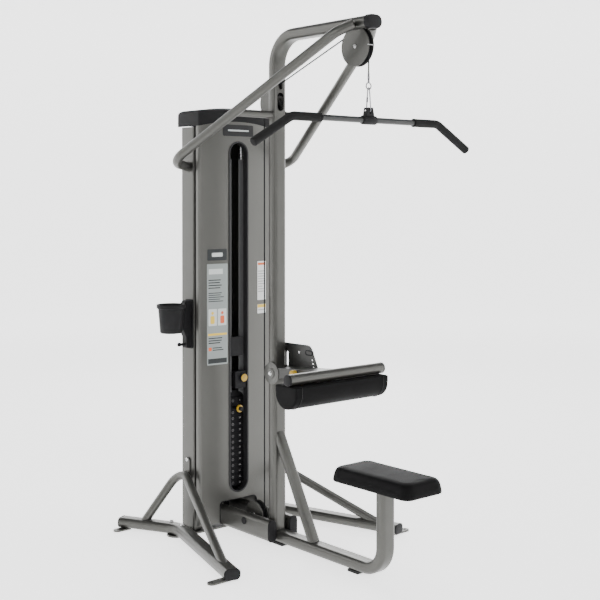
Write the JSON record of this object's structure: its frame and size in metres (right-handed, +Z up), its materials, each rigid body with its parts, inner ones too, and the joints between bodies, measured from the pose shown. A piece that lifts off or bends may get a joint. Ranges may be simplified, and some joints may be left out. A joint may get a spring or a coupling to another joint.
{
  "type": "lat pulldown machine",
  "caption": "Free-standing lat pulldown machine with a shrouded weight tower, overhead boom, bent pull bar, padded seat and tilting thigh pad.",
  "frame": {"origin": "on the floor under the middle of the column's front face", "axes": "+Z up, +Y from the seat towards the weight tower, X across the machine"},
  "size_m": [1.2128, 1.5511, 2.282],
  "materials": {
    "frame_paint": "satin metallic grey powder coat",
    "shroud_paint": "satin metallic grey powder coat",
    "black_plastic": "satin black moulding",
    "rubber": "matt black",
    "steel": "bright zinc",
    "cast_plate": "black paint on cast iron",
    "cable": "black nylon coat",
    "pad_vinyl": "grained black vinyl",
    "bar_paint": "satin black",
    "bracket_paint": "satin dark grey",
    "yellow": "moulded yellow"
  },
  "bodies": {
    "frame": {"column_and_boom": "frame_paint", "boom_end_cap": "black_plastic", "seat_rail_and_post": "frame_paint", "rail_brace": "frame_paint", "column_foot": "rubber", "rail_front_foot": "rubber", "base_beam_left": "frame_paint", "base_beam_right": "frame_paint", "stabiliser_left": "frame_paint", "stabiliser_right": "frame_paint", "stabiliser_brace_left": "frame_paint", "stabiliser_brace_right": "frame_paint", "stay_left": "frame_paint", "stay_right": "frame_paint", "tower_upright_left": "frame_paint", "tower_upright_right": "frame_paint", "tower_base_plate": "frame_paint", "stack_base": "frame_paint", "tower_top_crossmember": "frame_paint", "front_shroud": "shroud_paint", "slot_bezel": "black_plastic", "rear_shroud": "shroud_paint", "tower_top_cap": "black_plastic", "guide_rod_left": "steel", "guide_rod_right": "steel", "stack_bumper_left": "rubber", "stack_bumper_right": "rubber", "weight_plates_resting": "cast_plate", "boom_pulley_bracket": "frame_paint", "column_pulley_bracket": "frame_paint", "cable_run": "cable", "cable_drop": "cable", "cable_lift": "cable", "thigh_quadrant_plate": "bracket_paint", "thigh_hinge_bolt": "steel", "seat_pad": "pad_vinyl", "cup_holder": "black_plastic"},
    "lifted_stack": {"weight_plates_lifted": "cast_plate", "selector_stem_and_head": "cast_plate", "increment_weight": "black_plastic", "increment_dial": "yellow"},
    "selector": {"selector_pin": "yellow"},
    "cable_end": {"cable_ferrule": "steel"},
    "pull_bar": {"cable_snap_hook": "steel", "bar_link": "steel", "lat_bar": "bar_paint", "bar_grip_left": "rubber", "bar_grip_right": "rubber", "bar_clevis": "black_plastic"},
    "thigh_support": {"thigh_arm": "bracket_paint", "thigh_cross_tube": "frame_paint", "thigh_tube_cap_left": "black_plastic", "thigh_tube_cap_right": "black_plastic", "thigh_pad": "pad_vinyl"},
    "thigh_lock": {"thigh_lock_knob": "yellow"},
    "boom_wheel": {"boom_pulley": "black_plastic"},
    "column_wheel": {"column_pulley": "black_plastic"},
    "base_front_wheel": {"base_front_pulley": "black_plastic"},
    "base_rear_wheel": {"base_rear_pulley": "black_plastic"},
    "tower_top_wheel": {"tower_top_pulley": "black_plastic"}
  },
  "joints": [
    {"name": "stack_lift", "type": "slide", "parent": "frame", "child": "lifted_stack", "axis": [0, 0, 1], "range_m": [0, 0.82], "deforming": ["cable_lift"]},
    {"name": "pin_pull", "type": "slide", "parent": "lifted_stack", "child": "selector", "axis": [0, -1, 0], "range_m": [0, 0.012]},
    {"name": "cable_pull", "type": "slide", "parent": "frame", "child": "cable_end", "axis": [0, 0, -1], "range_m": [0, 0.82], "deforming": ["cable_drop"]},
    {"name": "bar_swivel", "type": "hinge", "parent": "cable_end", "child": "pull_bar", "pos_m": [0, -0.5615, 2.0165], "axis": [0, 0, 1], "range_deg": [-40, 40]},
    {"name": "thigh_tilt", "type": "hinge", "parent": "frame", "child": "thigh_support", "pos_m": [0, 0.01, 0.762], "axis": [1, 0, 0], "range_deg": [-8, 16]},
    {"name": "lock_pull", "type": "slide", "parent": "thigh_support", "child": "thigh_lock", "axis": [-1, 0, 0], "range_m": [0, 0.012], "stiffness_N_per_m": 600},
    {"name": "boom_wheel_turn", "type": "hinge", "parent": "frame", "child": "boom_wheel", "pos_m": [0, -0.496, 2.162], "axis": [1, 0, 0], "continuous": true},
    {"name": "column_wheel_turn", "type": "hinge", "parent": "frame", "child": "column_wheel", "pos_m": [0, 0.06, 1.966], "axis": [1, 0, 0], "continuous": true},
    {"name": "base_front_wheel_turn", "type": "hinge", "parent": "frame", "child": "base_front_wheel", "pos_m": [0, 0.17, 0.09], "axis": [1, 0, 0], "continuous": true},
    {"name": "base_rear_wheel_turn", "type": "hinge", "parent": "frame", "child": "base_rear_wheel", "pos_m": [0, 0.445, 0.08], "axis": [1, 0, 0], "continuous": true},
    {"name": "tower_top_wheel_turn", "type": "hinge", "parent": "frame", "child": "tower_top_wheel", "pos_m": [0, 0.45, 1.79], "axis": [1, 0, 0], "continuous": true}
  ],
  "couplings": [
    {"joint": "cable_pull", "follows": "stack_lift", "ratio": 1},
    {"joint": "boom_wheel_turn", "follows": "stack_lift", "rad_per_m": -15.267},
    {"joint": "column_wheel_turn", "follows": "stack_lift", "rad_per_m": -18.182},
    {"joint": "base_front_wheel_turn", "follows": "stack_lift", "rad_per_m": 18.182},
    {"joint": "base_rear_wheel_turn", "follows": "stack_lift", "rad_per_m": 22.222},
    {"joint": "tower_top_wheel_turn", "follows": "stack_lift", "rad_per_m": 25}
  ]
}
